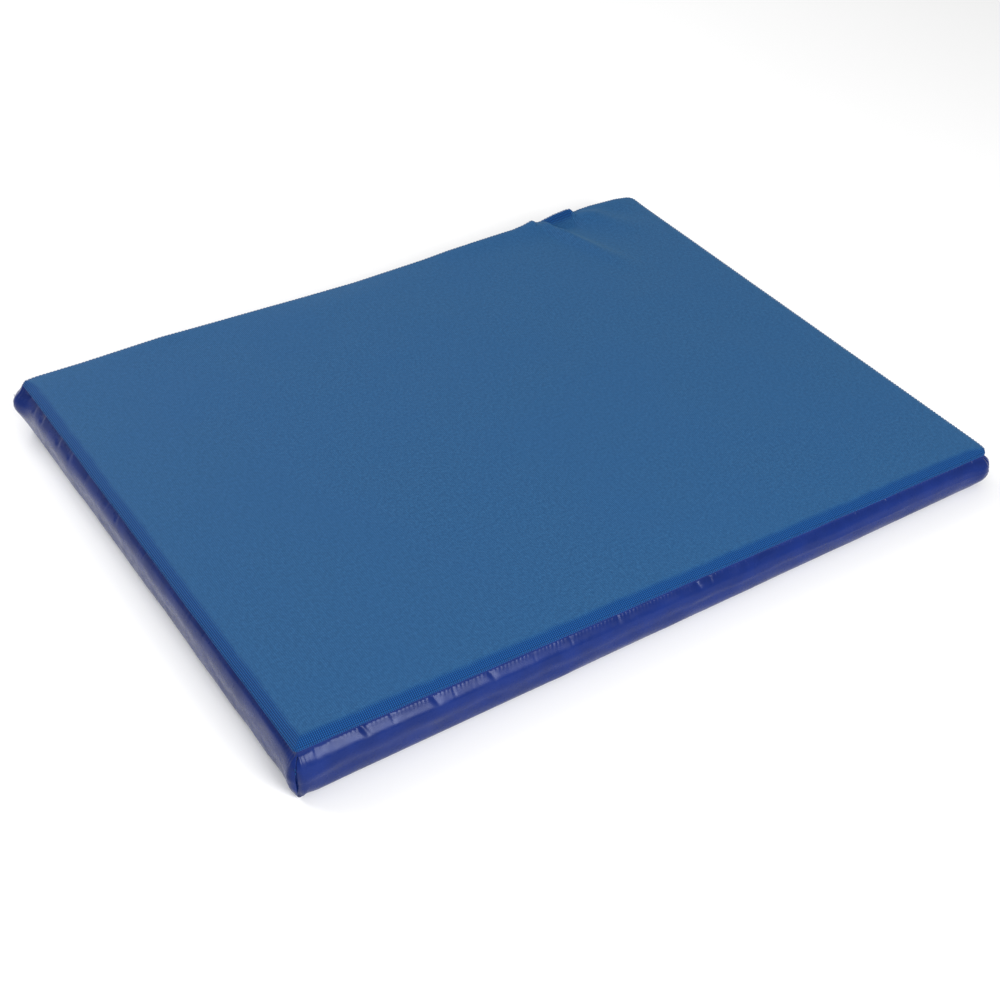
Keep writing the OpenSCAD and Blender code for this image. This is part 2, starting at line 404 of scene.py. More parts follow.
# The groove and the shoulder below the face's edge: (depth below the seam, share of the bulge or, where
# negative, millimetres behind the edge)
SHOULDER = (
    (0.2, -5.0), (2.2, -6.4), (4.4, -7.0), (6.6, -7.2), (8.8, -6.9), (10.8, -5.9), (12.6, -4.2), (14.3, -2.4),
    (16.0, -0.7), (17.8, 0.12), (19.8, 0.34), (22.2, 0.56), (25.5, 0.80), (31.0, 0.97),
)
SHOULDER_END = SHOULDER[-1][0] * MM
FINE_ROWS = 12
FOOT_HEIGHTS = (30.0, 24.0, 18.5, 14.0, 10.5, 7.5, 5.0, 3.2, 2.0, 1.3)
MIDDLE_ROWS = 4
CORNER_LIFT = 2.5 * MM  # how far the cover's bottom corners draw up off the floor
CORNER_IN = 3 * MM  # and how far they draw in
CORNER_REACH = 15 * MM


def puckers(s, depth, seed):
    """Scallops and small pleats that the stitches pull into a band, below its seam."""
    pull = np.clip(0.65 + 0.75 * line_noise(s, 0.021, seed), 0, 1.5)
    slant = 0.5 * depth + 1.2 * MM * line_noise(s, 0.017, seed + 1)
    wave = np.cos(2 * math.pi * (s + slant) / STITCH_PITCH)
    fade = bell(depth - 9.5 * MM, 3.2 * MM)
    trail = bell(depth, 18 * MM) * smooth(depth / (5 * MM))
    pleat = np.maximum(line_noise(s, 0.012, seed + 2, 2) - 0.34, 0)
    pleat_fade = bell(depth, 15 * MM) * smooth(depth / (3 * MM))
    return MM * (0.7 * pull * wave * fade + 0.02 * wave * trail - 4 * pleat * pleat_fade)


def gathers(ends, depth):
    """Small upright pleats where the fabric is eased round a corner."""
    fade = bell(depth, 18 * MM) * smooth(depth / (2 * MM))
    return 1.5 * MM * np.cos(2 * math.pi * ends / (5.2 * MM)) * bell(ends, 13 * MM) * fade


# Single deeper tucks below the seam: (distance along the side, depth in)
TUCKS = {
    "front": ((0.096, 2.6 * MM), (0.200, 1.8 * MM), (0.287, 1.6 * MM), (0.63, 1.2 * MM)),
    "left": ((0.050, 1.8 * MM), (0.082, 2.2 * MM), (0.150, 3.0 * MM), (0.195, 1.6 * MM), (0.37, 1.0 * MM)),
}


def tucks(side, s, depth):
    total = np.zeros_like(s)
    for place, deep in TUCKS.get(side, ()):
        across = (s - place - 0.5 * (depth - 12 * MM)) / (4.5 * MM)
        total -= deep * np.exp(-(across**2) - ((depth - 13 * MM) / (9 * MM)) ** 2)
    return total


def dents(s, z, seed):
    """Broad soft dents and waves over a whole band."""
    points = np.column_stack([s / 2.4, z, np.zeros_like(s)])
    slow = np.column_stack([s, z / 3, np.zeros_like(s)])
    return 1.3 * MM * noise_at(points, 0.030, seed, 2) + 1.5 * MM * noise_at(slow, 0.12, seed + 4)


def corner_draw(ends):
    return bell(ends, CORNER_REACH)


# How much further the cover swells at each corner than along its sides, how far up the most of it lies (the
# share of the height is raised to this power), and how far its bottom corner points out
EAR = {
    "near": (3.5 * MM, 0.8, 7 * MM),
    "right": (6.5 * MM, 1.0, 7 * MM),
    "far": (2.5 * MM, 1.0, 0.0),
    "left": (16.5 * MM, 1.9, 0.0),
}
EAR_REACH = 24 * MM
TOE_REACH = 6 * MM


def by_corner(side, s, ends, k):
    """The nearer corner's entry k of EAR at each place along a side."""
    start, end, _, _ = SIDES[side]
    return np.where(s <= ends + 1e-9, EAR[start][k], EAR[end][k])


def ears(side, s, ends, height):
    """Extra swelling near the corners, at a share of the height from the floor to the seam."""
    share = np.clip(height, 0, 1) ** by_corner(side, s, ends, 1)
    tall = by_corner(side, s, ends, 0) * bell(ends, EAR_REACH) * np.sin(math.pi * share) ** 0.85
    toe = by_corner(side, s, ends, 2) * bell(ends, TOE_REACH) * (1 - smooth(height / 0.35))
    return tall + toe


def corner_bulge(corner):
    """The swelling where two sides meet, halfway between theirs."""
    ends = [BULGE[side][SIDES[side].index(corner)] for side in SIDES if corner in SIDES[side][:2]]
    return sum(ends) / 2


def bulge_along(side, s, ends):
    """How far a side swells at distances along it."""
    start, end, _, _ = SIDES[side]
    first, last = BULGE[side]
    change = np.where(s <= ends + 1e-9, corner_bulge(start) - first, corner_bulge(end) - last)
    return lerp(first, last, np.clip(s / RUN[side], 0, 1)) + change * bell(ends, 20 * MM)


def corner_distance(p):
    """How far a place near the mat's edge is from the nearest corner."""
    to_x = np.minimum(p[:, 0] - LEFT_X, RIGHT_X - p[:, 0])
    to_y = np.minimum(p[:, 1] - FRONT_Y, REAR_Y - p[:, 1])
    return np.maximum(to_x, to_y)


def shoulder_stretch(p):
    """How much taller the shoulder is near the corners, and how much shorter where the mat is thin."""
    tall = 1 + 0.35 * bell(corner_distance(p), 45 * MM)
    return np.minimum(tall, (seam_z(p[:, 0]) - FOOT - 2 * MM) / SHOULDER_END)


def waist_at(p):
    """Share of the swelling left where a band starts to turn under: all of it where there is no room."""
    room = seam_z(p[:, 0]) - FOOT - SHOULDER_END * shoulder_stretch(p)
    return 1 - WAIST_IN * np.clip(room / (25 * MM), 0, 1)


def shoulder_out(depth, bulge, p):
    """How far a band stands out at one of the shoulder's depths below its seam."""
    share = dict((round(d * MM, 7), o) for d, o in SHOULDER)[round(depth, 7)]
    groove = lerp(1.0, 0.6, flat_border(p))
    return share * bulge if share > 0 else share * MM * groove


def foot_out(z, bulge, p):
    """How far a band stands out at a height near the floor, where it turns under to the base seam."""
    t = np.clip((z - HEM_Z) / (FOOT - HEM_Z), 0, 1)
    return lerp(-HEM_IN, waist_at(p) * bulge, np.sqrt(1 - (1 - t) ** 2))


def side_curve(side, x_range=None):
    """Two functions, for fine and coarse columns: the places, normals, distance from the first corner and
    distance from the nearer corner along a side, or along the part of it between two values of x."""
    start, end, _, _ = SIDES[side]
    total = RUN[side] - (CORNER_R[start] + CORNER_R[end]) * (1 - math.pi / 4)
    first, last = 0.0, 1.0
    if x_range:
        arc = CORNER_R[start] * math.pi / 4
        to_share = [(arc + RIGHT_X - CORNER_R[start] - x) / total for x in x_range]
        first, last = max(min(to_share), 0.0), min(max(to_share), 1.0)
    cells = max(round((last - first) * total / CELL), 4)

    def curve(fine):
        share = np.linspace(first, last, cells * (3 if fine else 1) + 1)
        p, n = side_path(side, share, 0.0)
        s = share * total
        return p, n, s, np.minimum(s, total - s)

    return curve


def band_mesh(name, side, rows, x_range=None):
    """A sheet along a side. Each row is (fine, place), where place turns the columns' places, distances
    along the side and distances from a corner into how far they stand out and their height."""
    curve = side_curve(side, x_range)
    verts, counts, cloth = [], [], []
    for fine, place in rows:
        p, n, s, ends = curve(fine)
        out, z = place(p, s, ends)
        out = out + ears(side, s, ends, z / seam_z(p[:, 0]))
        verts.append(np.column_stack([p + n * out[:, None], z]))
        counts.append(len(s))
        cloth.append(np.column_stack([s, z, seam_z(p[:, 0]) - z]))
    obj = make_object(name, np.concatenate(verts), bridge(counts), np.concatenate(cloth))
    return solidify(obj, SHEET_T)


def seam_groove(ends):
    """How deep the corner seams pull the bands in."""
    return 2.2 * MM * bell(ends, 2.4 * MM)


def seam_row(depth, side, seed, lifted=False):
    def place(p, s, ends):
        out = shoulder_out(depth, bulge_along(side, s, ends), p) + puckers(s, depth, seed)
        out = out + gathers(ends, depth) + tucks(side, s, depth)
        out = out + dents(s, np.full_like(s, -depth), seed) * smooth((depth - 5 * MM) / (14 * MM)) * 0.7
        out = out - seam_groove(ends) * smooth(depth / (8 * MM))
        z = seam_z(p[:, 0]) - depth * shoulder_stretch(p)
        return out, z + (rear_lift(p[:, 0]) if lifted else 0)

    return place


def wall_row(share, side, seed):
    """A row at a share of the way from the foot (0) to the shoulder (1)."""

    def place(p, s, ends):
        shoulder_z = seam_z(p[:, 0]) - SHOULDER_END * shoulder_stretch(p)
        z = lerp(FOOT, shoulder_z, share)
        out = lerp(waist_at(p), 1.0, smooth(share * 1.3)) * bulge_along(side, s, ends)
        return out + dents(s, z - seam_z(p[:, 0]), seed) - seam_groove(ends), z

    return place


def foot_row(height, side, seed):
    def place(p, s, ends):
        z = np.full_like(s, height)
        hold = smooth((height - HEM_Z) / (10 * MM))
        out = foot_out(height, bulge_along(side, s, ends), p) + dents(s, z - seam_z(p[:, 0]), seed) * hold
        draw = corner_draw(ends) * (1 - smooth((height - HEM_Z) / FOOT))
        return out - seam_groove(ends) * hold - CORNER_IN * draw, z + CORNER_LIFT * draw

    return place


def band_rows(side, seed, lifted=False):
    """Rows of a whole band from its seam to its hem."""
    rows = [(k < FINE_ROWS, seam_row(d * MM, side, seed, lifted)) for k, (d, _) in enumerate(SHOULDER)]
    for k in range(MIDDLE_ROWS, 0, -1):
        rows.append((False, wall_row(k / (MIDDLE_ROWS + 1), side, seed)))
    rows += [(False, foot_row(h * MM, side, seed)) for h in FOOT_HEIGHTS]
    return rows


# A strip beside the zip, by distance in mm from the window's edge. The hem, turned in behind the strip and
# sewn flat on the tape, gives mm behind (less than 0) or before the edge; the swell, a share of the bulge.
STRIP_HEM = (
    (3.0, -1.6), (0.6, -1.6), (0.1, -0.9), (0.0, -0.3), (0.4, 0.15), (2.0, 0.25), (4.5, 0.25), (6.5, 0.6),
)
STRIP_SWELL = ((9.0, 0.45), (12.0, 0.75), (16.0, 1.0))
STRIP_FOOT = (10.0, 7.0, 5.0, 3.4, 2.2, 1.3)  # heights of the lower strip's last rows


def hem_rows(edge_z, sign, bulge, seed):
    """Rows of a strip's sewn hem at edge_z, from behind it outwards; sign is 1 above the window."""

    def row(distance, out_mm):
        def place(p, s, ends):
            tack = 0.12 * MM * np.cos(2 * math.pi * s / STITCH_PITCH) * (distance > 3)
            return np.full_like(s, out_mm * MM) + tack, np.full_like(s, edge_z + sign * distance * MM)

        return place

    def swelling(distance, share):
        def place(p, s, ends):
            out = np.full_like(s, share * bulge) + 0.5 * MM * line_noise(s, 0.05, seed) * share
            return out, np.full_like(s, edge_z + sign * distance * MM)

        return place

    rows = [(True, row(d, o)) for d, o in STRIP_HEM]
    return rows + [(False, swelling(d, o)) for d, o in STRIP_SWELL[: 1 if sign > 0 else 2]]


def build_rear_pieces():
    """The two strips beside the zip and the two end pieces past it."""
    bulge, seed = BULGE["rear"][0], 81
    inner_half = STRIP_HALF - 0.2 * MM

    def upper_seam(depth):
        full = seam_row(depth, "rear", seed, True)

        def place(p, s, ends):
            out, _ = full(p, s, ends)
            # near the thin end the strip is narrow, so its rows are spread over what there is
            room = seam_z(p[:, 0]) - WINDOW_HIGH - 10 * MM
            squeezed = seam_z(p[:, 0]) - depth * np.minimum(room / (SHOULDER_END + 1 * MM), 1.0)
            left = np.clip((squeezed - WINDOW_HIGH - 9 * MM) / (20 * MM), 0, 1)
            return out, squeezed + rear_lift(p[:, 0]) * left

        return place

    upper = [(k < FINE_ROWS, upper_seam(d * MM)) for k, (d, _) in enumerate(SHOULDER)]
    upper += reversed(hem_rows(WINDOW_HIGH, 1, bulge, seed))
    lower = hem_rows(WINDOW_LOW, -1, bulge, seed)
    lower += [(False, foot_row(h * MM, "rear", seed)) for h in STRIP_FOOT]
    window = (-inner_half, inner_half)
    return {
        "rear_strip_upper": band_mesh("rear_strip_upper_sheet", "rear", upper, window),
        "rear_strip_lower": band_mesh("rear_strip_lower_sheet", "rear", lower, window),
        "rear_end_right": band_mesh(
            "rear_end_right_sheet", "rear", band_rows("rear", seed + 5, True), (inner_half + 0.4 * MM, 1)
        ),
        "rear_end_left": band_mesh(
            "rear_end_left_sheet", "rear", band_rows("rear", seed + 9, True), (-1, -inner_half - 0.4 * MM)
        ),
    }


# ---- foam core and base sheet


def toe_at(p):
    """How far the bottom corners point out."""
    total = np.zeros(len(p))
    for corner, (x, y) in CORNERS.items():
        away = np.hypot(p[:, 0] - x, p[:, 1] - y) - 10 * MM
        total += EAR[corner][2] * bell(np.maximum(away, 0), 8 * MM)
    return total


def slab_rows(name, top, rows, bottom, cells):
    """A closed or open slab: a grid on top, loops down its side, and a grid below where bottom is given.
    top and bottom give z at (x, y); each row is (inset, function of the loop's places giving z)."""
    nx, ny = cells
    first = rows[0][0]
    pad = first + 18 * MM

    def grid_of(height):
        gx = np.linspace(LEFT_X + pad, RIGHT_X - pad, nx + 1)
        gy = np.linspace(FRONT_Y + pad, REAR_Y - pad, ny + 1)
        flat = np.stack(np.meshgrid(gx, gy, indexing="ij"), -1).reshape(-1, 2)
        return np.column_stack([flat, height(flat)])

    squares, rim = grid_faces(nx, ny)
    verts, faces = [grid_of(top)], list(squares)
    at, previous = (nx + 1) * (ny + 1), rim
    for inset, height in rows:
        share = {side: np.linspace(0, 1, n + 1)[:-1] for side, n in zip(SIDES, (nx, ny, nx, ny))}
        paths = [side_path(side, share[side], inset) for side in SIDES]
        p, n = (np.concatenate([path[k] for path in paths]) for k in (0, 1))
        if bottom is None:
            p = p + n * (toe_at(p) * smooth((30 * MM - inset) / (20 * MM)))[:, None]
        verts.append(np.column_stack([p, height(p)]))
        current = list(range(at, at + len(p)))
        at += len(p)
        faces += ring_faces(previous, current)
        previous = current
    if bottom is not None:
        verts.append(grid_of(bottom))
        faces += ring_faces(previous, [at + k for k in rim])
        faces += [tuple(at + k for k in reversed(square)) for square in squares]
    return make_object(name, np.concatenate(verts), faces, np.concatenate(verts))


# (distance in from the edge, drop below the face's plane), then (distance in, height above the floor)
FOAM_SIDE = ((22, 1.6), (17.5, 2.6), (14, 4.4), (11.5, 7.0), (10.2, 10), (9.8, 15), (8.0, 20), (5.0, 25))
FOAM_FOOT = ((5.0, 24.0), (5.8, 16.0), (7.4, 10.0), (9.4, 6.0), (12.0, 3.6), (16.0, 2.2))
# The base's rim: (distance in from the edge, height above the floor, share of the corners' lift)
BASE_RIM = (
    (28, 0.0, 0.1), (21, 0.0, 0.3), (16, 0.05, 0.55), (12, 0.2, 0.75), (9.4, 0.6, 0.9), (8.6, 1.3, 1.0),
    (8.6, 2.4, 1.0), (8.8, 4.0, 1.0),
)


def level(z):
    """A function that gives every place the height z."""
    return lambda p: np.full(len(p), z)


def build_foam():
    """The foam wedge, whose top edges the cover rounds off."""

    def top(p):
        start, end, _ = HOLLOW
        beside = np.maximum(start - 0.03 - p[:, 0], p[:, 0] - end - 0.03)
        under_slack = (1 - smooth(beside / 0.05)) * smooth((p[:, 1] - REAR_Y + 0.15) / 0.08)
        low = np.minimum(face_height(p), 1.0 * MM) - 1.8 * MM
        return top_z(p[:, 0]) + low - 9 * MM * under_slack

    def side(drop):
        return lambda p: top_z(p[:, 0]) + np.minimum(face_height(p), 0.0) - drop * MM

    rows = [(inset * MM, side(drop)) for inset, drop in FOAM_SIDE]
    rows += [(4.0 * MM, lambda p: lerp(24 * MM, top_z(p[:, 0]) - 28 * MM, 0.5))]
    rows += [(inset * MM, level(z * MM)) for inset, z in FOAM_FOOT]
    return slab_rows("foam_wedge", top, rows, level(1.4 * MM), (120, 94))


def build_base():
    """The PVC underside, whose rim turns up inside the bands."""

    def height(z, share):
        return lambda p: z * MM + CORNER_LIFT * share * corner_draw(corner_distance(p))

    rows = [(inset * MM, height(z, share)) for inset, z, share in BASE_RIM]
    obj = slab_rows("base_sheet_pvc", level(0.0), rows, None, (240, 186))
    obj.data.flip_normals()
    return solidify(obj, BASE_T)


# ---- stitches

# The rings of a stitch between its two tips: (share of the length, share of the radius)
CAPSULE = ((-0.46, 0.62), (-0.30, 1.0), (0.0, 1.0), (0.30, 1.0), (0.46, 0.62))
STITCH_L = 5.0 * MM
THREAD_R = 0.42 * MM
SEAM_POINTS = 30  # along each corner seam


def capsules(name, centres, alongs, ups, length, radius, bow, sides=6):
    """A row of stitches: short bowed threads, each centred at a place and lying along a direction."""
    count = len(centres)
    sideways = np.cross(alongs, ups)
    ring = np.linspace(0, 2 * math.pi, sides, endpoint=False)
    template, faces = [], []
    for t, r in CAPSULE:
        for a in ring:
            lift = bow * (1 - (2 * t) ** 2)
            template.append((t * length, r * radius * math.cos(a), r * radius * math.sin(a) + lift))
    template += [(-0.5 * length, 0, 0), (0.5 * length, 0, 0)]
    loops = len(CAPSULE)
    tip0, tip1 = loops * sides, loops * sides + 1
    for k in range(loops - 1):
        for i in range(sides):
            j = (i + 1) % sides
            faces.append((k * sides + i, k * sides + j, (k + 1) * sides + j, (k + 1) * sides + i))
    for i in range(sides):
        j = (i + 1) % sides
        faces.append((j, i, tip0))
        faces.append(((loops - 1) * sides + i, (loops - 1) * sides + j, tip1))
    t = np.array(template)
    verts = (
        centres[:, None, :]
        + t[None, :, 0, None] * alongs[:, None, :]
        + t[None, :, 1, None] * sideways[:, None, :]
        + t[None, :, 2, None] * ups[:, None, :]
    ).reshape(-1, 3)
    every = [tuple(v + k * len(template) for v in f) for k in range(count) for f in faces]
    return make_object(name, verts, every, np.tile(t, (count, 1)))


def unit(v):
    return v / np.linalg.norm(v, axis=1)[:, None]


def stitch_line(points, outward, pitch=STITCH_PITCH):
    """Centres, directions and outward directions of stitches spaced evenly along a line of points."""
    s = distance_along(points)
    count = int(s[-1] // pitch)
    at = (np.arange(count) + 0.5) * s[-1] / count

    def place(d):
        return np.column_stack([np.interp(d, s, points[:, k]) for k in range(3)])

    centres = place(at)
    alongs = unit(place(at + 0.4 * pitch) - place(at - 0.4 * pitch))
    ups = np.column_stack([np.interp(at, s, outward[:, k]) for k in range(3)])
    ups = unit(ups - alongs * np.sum(ups * alongs, axis=1)[:, None])
    return centres, alongs, ups


def joined(parts):
    """Several stitch lines as one."""
    return (np.concatenate([part[k] for part in parts]) for k in range(3))


def closed_line(points, outward):
    return np.concatenate([points, points[:1]]), np.concatenate([outward, outward[:1]])


def build_face_seam():
    inset, slanted, flat_drop = BORDER[9]
    p, n = loop_path(inset * MM - 0.1 * MM, True)
    drop = lerp(slanted, flat_drop, flat_border(p)) * MM
    z = top_z(p[:, 0]) + face_height(p) - drop + 0.3 * MM
    outward = np.column_stack([n * 0.5, np.full(len(p), 0.866)])
    centres, alongs, ups = stitch_line(*closed_line(np.column_stack([p, z]), outward))
    return capsules("face_seam_stitches", centres, alongs, ups, STITCH_L, THREAD_R, 0.25 * MM)


def build_base_seam():
    p, n = loop_path(HEM_IN + 0.6 * MM, True)
    z = 0.9 * MM + CORNER_LIFT * corner_draw(corner_distance(p))
    outward = np.column_stack([n * 0.8, np.full(len(p), -0.3)])
    centres, alongs, ups = stitch_line(*closed_line(np.column_stack([p + n * 0.7 * MM, z]), outward))
    return capsules("base_seam_stitches", centres, alongs, ups, STITCH_L, THREAD_R, 0.15 * MM)


def build_corner_seams():
    parts = []
    for side in SIDES:
        start = SIDES[side][0]
        p, n = side_path(side, np.zeros(1), 0.0)
        bulge, zero = corner_bulge(start), np.zeros(SEAM_POINTS)
        high = float(seam_z(p[0, 0]))
        z = np.linspace(8 * MM, high - 24 * MM, SEAM_POINTS)
        spots = np.repeat(p, SEAM_POINTS, axis=0)
        wall = bulge * lerp(waist_at(spots), 1.0, smooth((z - FOOT) / (30 * MM)))
        out = np.where(z < FOOT, foot_out(z, bulge, spots), wall)
        drawn = 1 - smooth((z - HEM_Z) / FOOT)
        out = out + ears(side, zero, zero, z / high) - 2.0 * MM - CORNER_IN * drawn
        z = z + CORNER_LIFT * drawn
        points = np.column_stack([p[0, 0] + n[0, 0] * out, p[0, 1] + n[0, 1] * out, z])
        outward = np.tile([n[0, 0], n[0, 1], 0.0], (SEAM_POINTS, 1))
        parts.append(stitch_line(points, outward))
    centres, alongs, ups = joined(parts)
    return capsules("corner_seam_stitches", centres, alongs, ups, STITCH_L, 0.40 * MM, 0.2 * MM)


def build_zip_stitching():
    low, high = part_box("zip_stitching")
    half_x, half_z = high[0] - 0.5 * MM, (high[2] - low[2]) / 2 - 0.5 * MM
    y = REAR_Y + 0.25 * MM + 0.18 * MM
    parts = []
    for sign in (-1, 1):
        z = ZIP_Z + sign * half_z
        rows = np.array([(-STRIP_HALF + 1 * MM, y, z), (STRIP_HALF - 1 * MM, y, z)])
        parts.append(stitch_line(rows, np.tile([0.0, 1.0, 0.0], (2, 1))))
        x = sign * half_x
        y_end = REAR_Y + BULGE["rear"][0] * 0.9
        tail = np.array([(x, y_end, ZIP_Z - half_z), (x, y_end, ZIP_Z + half_z)])
        parts.append(stitch_line(tail, np.tile([0.0, 1.0, 0.0], (2, 1)), 4 * MM))
    centres, alongs, ups = joined(parts)
    return capsules("zip_stitches", centres, alongs, ups, 3.8 * MM, 0.4 * MM, 0.2 * MM)


# ---- the zip

TOOTH_PITCH = 3.2 * MM
TOOTH_W = 1.75 * MM
TOOTH_REACH = 0.62 * MM  # how near a tooth's tip comes to the zip's centre line, clear of the slider's post
# Half outline of a tooth, seen from the rear: (across the zip from root to tip, half width)
TOOTH_OUTLINE = ((0.0, 0.5), (0.45, 0.5), (0.62, 0.36), (0.8, 0.36), (0.93, 0.5), (1.0, 0.3))


def build_tape(name, sign):
    """A woven tape along the teeth, flat near them and faintly waved further out."""
    low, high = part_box(name)
    root = ZIP_Z + sign * (TOOTH_REACH + 0.18 * MM)
    outer = low[2] if sign < 0 else high[2]
    across = [root, root + sign * 0.5 * MM, root + sign * 3.0 * MM]
    across += list(np.linspace(root + sign * 3.4 * MM, outer, 7))
    xs = np.linspace(low[0], high[0], 540)
    verts, rows = [], []
    for k, z in enumerate(across):
        wave = 0.05 * MM * np.sin(2 * math.pi * xs / 0.012 + k)
        y = np.full_like(xs, low[1] + 0.5 * MM) + wave * (k > 2)
        verts.append(np.column_stack([xs, y, np.full_like(xs, z)]))
        rows.append(len(xs))
    faces = bridge(rows)
    obj = make_object(name + "_cloth", np.concatenate(verts), faces, np.concatenate(verts))
    return solidify(obj, 0.45 * MM, -1.0 if sign < 0 else 1.0)


def build_teeth(name, sign):
    """A row of moulded teeth, set half a pitch from those of the other row."""
    low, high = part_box(name)
    span = high[0] - low[0]
    count = int(span / TOOTH_PITCH)
    first = low[0] + (span - (count - 1) * TOOTH_PITCH) / 2 + sign * TOOTH_PITCH / 4
    root = abs((high[2] if sign > 0 else low[2]) - ZIP_Z)
    outline = [(lerp(root, TOOTH_REACH, a), w * TOOTH_W) for a, w in TOOTH_OUTLINE]
    loop = [(z, -w) for z, w in outline] + [(z, w) for z, w in reversed(outline)]
    centre = sum(z for z, _ in loop) / len(loop)
    y0, y1 = low[1], high[1]
    layers = [(y0, 1.0), (y1 - 0.55 * MM, 1.0), (y1 - 0.18 * MM, 0.9), (y1, 0.66)]
    template = [
        (w * k, y, sign * (centre + (z - centre) * k) + ZIP_Z) for y, k in layers for z, w in loop
    ]
    n = len(loop)
    faces = [
        (a * n + i, a * n + (i + 1) % n, (a + 1) * n + (i + 1) % n, (a + 1) * n + i)
        for a in range(len(layers) - 1)
        for i in range(n)
    ]
    faces += [tuple(range(n)), tuple((len(layers) - 1) * n + i for i in reversed(range(n)))]
    verts, every = [], []
    for k in range(count):
        x = first + k * TOOTH_PITCH
        if x + TOOTH_W / 2 > high[0] or x - TOOTH_W / 2 < low[0]:
            continue
        base = len(verts)
        verts += [(x + dx, y, z) for dx, y, z in template]
        every += [tuple(base + v for v in f) for f in faces]
    obj = make_object(name + "_teeth", verts, every, verts)
    outward_normals(obj)
    obj.data.polygons.foreach_set("use_smooth", [False] * len(obj.data.polygons))
    return obj


def outward_normals(obj):
    bm = bmesh.new()
    bm.from_mesh(obj.data)
    bmesh.ops.recalc_face_normals(bm, faces=bm.faces)
    bm.to_mesh(obj.data)
    bm.free()


def bevelled_copy(node, width):
    """The CAD node's own shape with its sharp edges broken."""
    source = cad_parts[node]
    mesh = source.data.copy()
    obj = bpy.data.objects.new(node + "_metal", mesh)
    bpy.context.scene.collection.objects.link(obj)
    bm = bmesh.new()
    bm.from_mesh(mesh)
    bmesh.ops.remove_doubles(bm, verts=bm.verts, dist=1e-6)
    bmesh.ops.dissolve_limit(bm, angle_limit=math.radians(1), verts=bm.verts, edges=bm.edges)
    bm.to_mesh(mesh)
    bm.free()
    mod = obj.modifiers.new("edges", "BEVEL")
    mod.width = width
    mod.segments = 2
    mod.limit_method = "ANGLE"
    mod.angle_limit = math.radians(35)
    mod.harden_normals = False
    apply_modifiers(obj)
    obj.data.polygons.foreach_set("use_smooth", [True] * len(obj.data.polygons))
    obj.data.set_sharp_from_angle(angle=math.radians(40))
    return obj


# ---- materials


class Shader:
    """Builds a node material a step at a time."""

    def __init__(self, name):
        self.mat = bpy.data.materials.new(name)
        self.mat.use_nodes = True
        self.nodes, self.links = self.mat.node_tree.nodes, self.mat.node_tree.links
        self.bsdf = self.nodes["Principled BSDF"]

    def set(self, **values):
        for name, value in values.items():
            self.bsdf.inputs[name.replace("_", " ")].default_value = value
        return self

    def put(self, value, socket):
        if isinstance(value, (int, float, tuple)):
            socket.default_value = value
        else:
            self.links.new(value, socket)

    def add(self, kind, **values):
        """A new node with its inputs set or linked by name."""
        node = self.nodes.new("ShaderNode" + kind)
        for name, value in values.items():
            self.put(value, node.inputs[name])
        return node

    def cloth(self):
        """The piece's own coordinates along the cloth, in metres."""
        node = self.add("Attribute")
        node.attribute_name = "cloth"
        return node.outputs["Vector"]

    def place(self):
        return self.add("TexCoord").outputs["Object"]

    def parts(self, vector):
        return self.add("SeparateXYZ", Vector=vector).outputs

    def math(self, operation, a, b=0.0, c=0.0):
        node = self.add("Math")
        node.operation = operation
        for value, socket in zip((a, b, c), node.inputs):
            self.put(value, socket)
        return node.outputs[0]

    def wave(self, value, pitch):
        """A cosine of a distance, from 0 to 1, with one crest each pitch."""
        turned = self.math("COSINE", self.math("MULTIPLY", value, 2 * math.pi / pitch))
        return self.math("MULTIPLY_ADD", turned, 0.5, 0.5)

    def noise(self, vector, size, detail=2.0, rough=0.5):
        """Noise from 0 to 1 whose blotches are about size metres across."""
        node = self.add("TexNoise", Scale=1 / size, Detail=detail, Roughness=rough, Vector=vector)
        return node.outputs[0]

    def ramp(self, value, low, high, out_low=0.0, out_high=1.0):
        node = self.add("MapRange")
        node.interpolation_type = "SMOOTHSTEP"
        for v, socket in zip((value, low, high, out_low, out_high), node.inputs):
            self.put(v, socket)
        return node.outputs[0]

    def blend(self, factor, a, b):
        """Mixes two colours."""
        node = self.add("Mix")
        node.data_type = "RGBA"
        self.put(factor, node.inputs[0])
        for value, socket in ((a, node.inputs[6]), (b, node.inputs[7])):
            self.put((*value, 1) if isinstance(value, tuple) else value, socket)
        return node.outputs[2]

    def bump(self, height, distance, strength=1.0, under=None):
        node = self.add("Bump", Distance=distance, Strength=strength, Height=height)
        if under is not None:
            self.links.new(under, node.inputs["Normal"])
        return node.outputs[0]

    def finish(self, colour=None, roughness=None, normal=None):
        for name, value in (("Base Color", colour), ("Roughness", roughness), ("Normal", normal)):
            if value is not None:
                self.links.new(value, self.bsdf.inputs[name])
        return self.mat


RIB_PITCH = 2.8 * MM
# Lit and shaded copies of one fabric: the face's colours carry a painted sheen from the back light, and the
# slanted border's colours are painted shade, darker and more saturated, where the slope does not catch that
# sheen.
FACE_VALLEY, FACE_CREST = (0.008, 0.058, 0.160), (0.029, 0.122, 0.276)
FACE_SHADE, FACE_DIM = (0.010, 0.068, 0.192), (0.005, 0.044, 0.130)
SLANT_SHADE_VALLEY, SLANT_SHADE_CREST = (0.0002, 0.011, 0.070), (0.0015, 0.100, 0.335)
PVC_BASE, PVC_DEEP = (0.0045, 0.0180, 0.126), (0.0030, 0.0138, 0.100)


